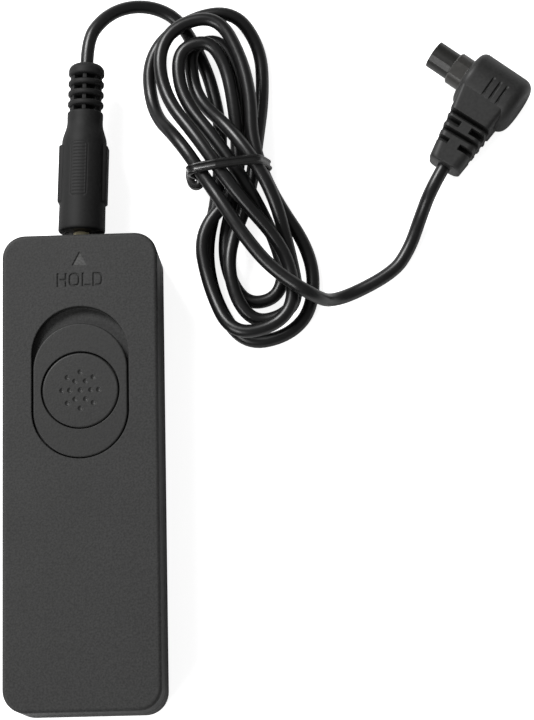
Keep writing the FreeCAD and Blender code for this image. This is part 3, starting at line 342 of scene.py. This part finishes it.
for along in alongs:
    body = handle_radius - handle_taper * (along - face_round)
    if along < face_round:
        body = handle_radius - face_round + math.sqrt(face_round ** 2 - (face_round - along) ** 2)
    body += (shoulder_radius - body) * smooth(along, shoulder_start, shoulder_end)
    gap = min(abs(along - row) for row in relief_rows)
    if along > relief_start:
        swell = max(0.0, min(1.0, (gap - cut_half) / ring_swell))
        body = ring_base + ring_rise * math.sqrt(1 - (1 - swell) ** 2)
    if along > collar_start:
        share = (along - collar_start) / collar_round
        body = collar_hole + collar_round * math.sqrt(max(0.0, 1 - share ** 2))
    pad = smooth(along, pad_start, pad_start + pad_fade)
    pad *= 1 - smooth(along, pad_end - pad_fade, pad_end)
    row = []
    for turn in turns:
        across, up = math.cos(math.radians(turn)), math.sin(math.radians(turn))
        radius = body
        if pad > 0:
            flat = ((abs(across) / pad_reach) ** 10 + (abs(up) / pad_half_height) ** 10) ** -0.1
            radius = max(body, body + (flat - body) * pad)
        if gap < cut_half and abs(up) * cut_radius > cut_side:
            hollow = cut_near < abs(across) * cut_radius < cut_far
            radius = cut_floor if hollow else cut_web
        side = radius * across + panel_shift
        if up > 0 and 6.8 < along < 20.1 and abs(side) < rim_half:
            if abs(side) < panel_half and panel_start < along < panel_end:
                wave = math.cos(2 * math.pi * (along - panel_start) / rib_pitch)
                fade = 1 - smooth(abs(side), panel_half - 0.2, panel_half)
                radius -= rib_depth * fade * (0.5 - 0.5 * wave)
            rim_x = max(0.0, abs(side) - rim_straight)
            rim_y = max(0.0, rim_start - along, along - rim_end)
            rim = math.hypot(rim_x, rim_y) - rim_round
            radius -= rim_depth * (1 - smooth(abs(rim), 0.05, 0.2))
        row.append(handle_face + handle_ahead * along + handle_across * (radius * across)
                   + Vector((0, 0, radius * up)))
    handle_rows.append(row)
handle = skin("plug_grip", handle_rows)
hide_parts("plug_handle")
handle.data.materials.append(
    surface("handle_pvc", (0.0105, 0.0105, 0.0105), 0.62, 1500.0, 0.3, 0.06, 0.2,
            shine=0.25, edge=0.1))

# Camera connector: a round head with three grip grooves, lying across the cord, and a
# tapering boot with cut rows, in the head's own axes: nose along a, cord away along b.
connector_turn = math.radians(142.7)
axis_a = Vector((math.cos(connector_turn), math.sin(connector_turn), 0.0))
axis_b = Vector((-math.sin(connector_turn), math.cos(connector_turn), 0.0))
connector_centre = Vector((92.29, 84.30, 6.78))
head_radius = 6.775
head_back, head_back_round = -6.8, 2.4
head_front, head_front_round = 7.0, 1.6
grip_grooves = (0.95, -0.85, -2.65)
groove_depth = 0.4
head_places = [head_back + head_back_round * (1 - math.cos(math.radians(7.5 * k)))
               for k in range(13)]
head_places += [-4.2, -3.9, -3.6] + [-3.3 + 0.08 * k for k in range(62)]
head_places += [2.0 + 0.5 * k for k in range(7)]
head_places += [head_front - head_front_round * (1 - math.sin(math.radians(10 * k)))
                for k in range(10)]
head_places = sorted(set(round(place, 3) for place in head_places))
head_rows = []
for a in head_places:
    radius = head_radius
    past_back = head_back + head_back_round - a
    past_front = a - (head_front - head_front_round)
    for past, rounding in ((past_back, head_back_round), (past_front, head_front_round)):
        if past > 0:
            radius = head_radius - rounding + math.sqrt(max(0.0, rounding ** 2 - past ** 2))
    row = []
    for step in range(180):
        turn = math.radians(step * 2.0)
        b, up = math.sin(turn), math.cos(turn)
        deep = 0.0
        if up > 0:
            ends = smooth(b * radius, -1.5, -0.9) * (1 - smooth(b * radius, 4.5, 5.0))
            near = min(abs(a - groove) for groove in grip_grooves)
            deep = groove_depth * ends * (1 - smooth(near, 0.12, 0.34))
        row.append(connector_centre + axis_a * a + axis_b * ((radius - deep) * b)
                   + Vector((0, 0, (radius - deep) * up)))
    head_rows.append(row)
head = skin("connector_round_head", head_rows)
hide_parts("connector_head")


def round_corner(a, up, radius, start):
    angles = [math.radians(start - 10 * step) for step in range(1, 9)]
    return [(a + radius * math.cos(angle), up + radius * math.sin(angle)) for angle in angles]


boot_start, boot_end, boot_end_round = 3.0, 20.3, 0.5
boot_lean = math.radians(6.6)
boot_slots = ((9.5, 0.62), (13.45, 0.58))
boot_windows = ((11.4, 0.72), (15.75, 0.64))
cut_half_height = 1.6
web_from, web_to = -1.4, 1.25
boot_places = [2.0 + 0.6 * k for k in range(31)] + [19.9, 20.1, 20.25, boot_end]
for place, half in boot_slots + boot_windows:
    boot_places += [place - half - 0.05, place - half + 0.05, place]
    boot_places += [place + half - 0.05, place + half + 0.05]
boot_places = sorted(set(round(place, 3) for place in boot_places if place <= boot_end))
boot_rows = []
for b in boot_places:
    share = (b - boot_start) / (boot_end - boot_start)
    middle = 0.8 - 1.6 * share
    lean = boot_lean * max(0.0, share)
    past = max(0.0, b - (boot_end - boot_end_round))
    tuck = boot_end_round - math.sqrt(max(0.0, boot_end_round ** 2 - past ** 2))
    half_width = 5.7 - 1.95 * share - tuck
    half_height = 5.9 - 2.15 * share - tuck
    corner = 0.9 + 1.0 * share
    straight = half_height - corner
    slot = any(abs(b - place) < half for place, half in boot_slots)
    window = any(abs(b - place) < half for place, half in boot_windows)
    low, high = middle - half_width + corner, middle + half_width - corner
    web_right = max(web_from, low + 0.2)
    web_left = min(web_to, high - 0.02)
    tops = [low + (web_right - 0.1 - low) * k / 5 for k in range(6)]
    tops += [web_right + (web_left - 0.1 - web_right) * k / 6 for k in range(7)]
    tops += [web_left + (high - web_left) * k / 5 for k in range(6)]
    downs = [straight - 2 * straight * k / 8 for k in range(9)]
    ring = [(a, half_height) for a in tops]
    ring += round_corner(high, straight, corner, 90)
    ring += [(middle + half_width, down) for down in downs]
    ring += round_corner(high, -straight, corner, 0)
    ring += [(a, -half_height) for a in reversed(tops)]
    ring += round_corner(low, -straight, corner, 270)
    ring += [(middle - half_width, -down) for down in downs]
    ring += round_corner(low, straight, corner, 180)
    row = []
    for a, up in ring:
        if slot or (window and not web_right - 0.05 < a < web_left - 0.05):
            up = max(-cut_half_height, min(cut_half_height, up))
        across = a - middle
        row.append(connector_centre + axis_a * (middle + across * math.cos(lean))
                   + axis_b * (b + across * math.sin(lean)) + Vector((0, 0, up)))
    boot_rows.append(row)
boot = skin("connector_boot", boot_rows)
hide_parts("connector_head")
connector_look = surface("connector_pvc", (0.0165, 0.0165, 0.0162), 0.52, 1500.0, 0.3, 0.06, 0.2,
                         shine=0.4, edge=0.1)
for piece in (head, boot):
    piece.data.materials.append(connector_look)
paint(surface("nose_metal", (0.009, 0.0088, 0.0075), 0.42, 1600.0, 0.15, 0.08, 0.1,
              edge=0.1), "nose_shell")
# The collar is painted sheen: painted lighter than the nose for the streak of light its facets catch.
paint(surface("collar_metal_painted_sheen", (0.026, 0.025, 0.0225), 0.4, 1600.0, 0.15, 0.1, 0.1,
              shine=0.6, edge=0.12), "lock_collar")

# Cord tie: a flat ribbon with two wire ridges wound once round the hank's waist, a little
# askew, and its folded end, a small knot beside the strands.
waist_places = [(v, z) for u, v, z, turn in stations if u == 0]
strand_reach = 1.95
tie_steps = 120
tie_sides = []
for step in range(tie_steps):
    turn = math.radians(360 / tie_steps * step)
    out = (math.cos(turn), math.sin(turn))
    tie_sides.append((out, max(v * out[0] + z * out[1] for v, z in waist_places) + strand_reach))
tie_outline = []
for (out, reach), (out1, reach1) in zip(tie_sides, tie_sides[1:] + tie_sides[:1]):
    cross = out[0] * out1[1] - out[1] * out1[0]
    tie_outline.append(((reach * out1[1] - reach1 * out[1]) / cross,
                        (reach1 * out[0] - reach * out1[0]) / cross, out))
half_ribbon = [(-1.15, 0.0), (-1.15, 0.28), (-1.05, 0.42), (-0.92, 0.62), (-0.72, 0.68),
               (-0.54, 0.6), (-0.42, 0.4), (-0.2, 0.36)]
ribbon = half_ribbon + [(-wide, high) for wide, high in reversed(half_ribbon)]
tie_shift, tie_skew = -0.9, -0.04
tie_rows = []
for v, z, out in tie_outline:
    shift = tie_shift + tie_skew * (v - 0.5)
    tie_rows.append([hank_centre + hank_u * (shift + wide) + hank_v * (v + out[0] * high)
                     + Vector((0, 0, max(0.05, z + out[1] * high))) for wide, high in ribbon])
tie = skin("tie_ribbon", tie_rows, closed=True)
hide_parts("tie_band")
fold_middle = (0.1, -9.0, 4.6)
fold_reach = (1.75, 0.95)
fold_profile = [(-1.3, 0.3), (-1.15, 0.85), (-0.75, 1.1), (-0.4, 0.95), (0.0, 0.9), (0.4, 0.95),
                (0.75, 1.1), (1.15, 0.85), (1.3, 0.3), (1.1, -0.4), (0.6, -0.8), (-0.6, -0.8),
                (-1.1, -0.4)]
fold_rows = []
for step in range(72):
    turn = math.radians(5 * step)
    out_u, out_v = math.cos(turn), math.sin(turn)
    u = fold_middle[0] + fold_reach[0] * math.copysign(abs(out_u) ** 0.8, out_u)
    v = fold_middle[1] + fold_reach[1] * math.copysign(abs(out_v) ** 0.9, out_v)
    fold_rows.append([hank_centre + hank_u * (u + out_u * high) + hank_v * (v + out_v * high)
                      + Vector((0, 0, fold_middle[2] + wide)) for wide, high in fold_profile])
tie_end = skin("tie_folded_end", fold_rows, closed=True)
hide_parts("tie_twist")
tie_look = surface("tie_plastic", (0.007, 0.007, 0.007), 0.28, 700.0, 0.2, 0.1, 0.08,
                   shine=0.6, edge=0.05)
for piece in (tie, tie_end):
    piece.data.materials.append(tie_look)

# Floor: a plain pale sheet a hair below the part, lifted toward white for the camera's own
# rays, so that it keeps a faint shadow and lights the part no more than paper would.
floor_half = 3
floor_drop = 0.05
floor_lift = 0.85
floor_corners = [(-floor_half, -floor_half, 0), (floor_half, -floor_half, 0),
                 (floor_half, floor_half, 0), (-floor_half, floor_half, 0)]
floor_mesh = bpy.data.meshes.new("floor")
floor_mesh.from_pydata(floor_corners, [], [(0, 1, 2, 3)])
floor = bpy.data.objects.new("floor", floor_mesh)
bpy.context.scene.collection.objects.link(floor)
floor.location.z = -floor_drop * MM
floor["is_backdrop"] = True
floor_look = bpy.data.materials.new("floor")
floor_look.use_nodes = True
floor_tree = floor_look.node_tree
floor_shader = floor_tree.nodes["Principled BSDF"]
floor_shader.inputs["Base Color"].default_value = (0.85, 0.85, 0.85, 1.0)
floor_shader.inputs["Roughness"].default_value = 0.9
floor_shader.inputs["Emission Color"].default_value = (1.0, 1.0, 1.0, 1.0)
seen = floor_tree.nodes.new("ShaderNodeLightPath")
lift = floor_tree.nodes.new("ShaderNodeMath")
lift.operation = "MULTIPLY"
lift.inputs[1].default_value = floor_lift
floor_tree.links.new(seen.outputs["Is Camera Ray"], lift.inputs[0])
floor_tree.links.new(lift.outputs["Value"], floor_shader.inputs["Emission Strength"])
floor_mesh.materials.append(floor_look)

# Light: a broad lamp from the upper left, a weaker one from the lower left that glints on
# the connector's facets, and a dim even sky.
world = bpy.data.worlds.new("world")
bpy.context.scene.world = world
world.use_nodes = True
world.node_tree.nodes["Background"].inputs["Color"].default_value = (1.0, 1.0, 1.0, 1.0)
world.node_tree.nodes["Background"].inputs["Strength"].default_value = 0.2


def lamp(name, place, power):
    data = bpy.data.lights.new(name, "AREA")
    data.size = 0.4
    data.energy = power
    light = bpy.data.objects.new(name, data)
    bpy.context.scene.collection.objects.link(light)
    light.location = place
    aim = Vector((0.03, 0.03, 0.0))
    light.rotation_euler = (aim - Vector(place)).to_track_quat("-Z", "Y").to_euler()


lamp("key", (-0.45, 0.55, 0.7), 10.0)
lamp("low left", (-0.5, -0.42, 0.55), 3.5)
bpy.context.scene.view_settings.view_transform = "Standard"

bpy.context.view_layer.update()
low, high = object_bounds()
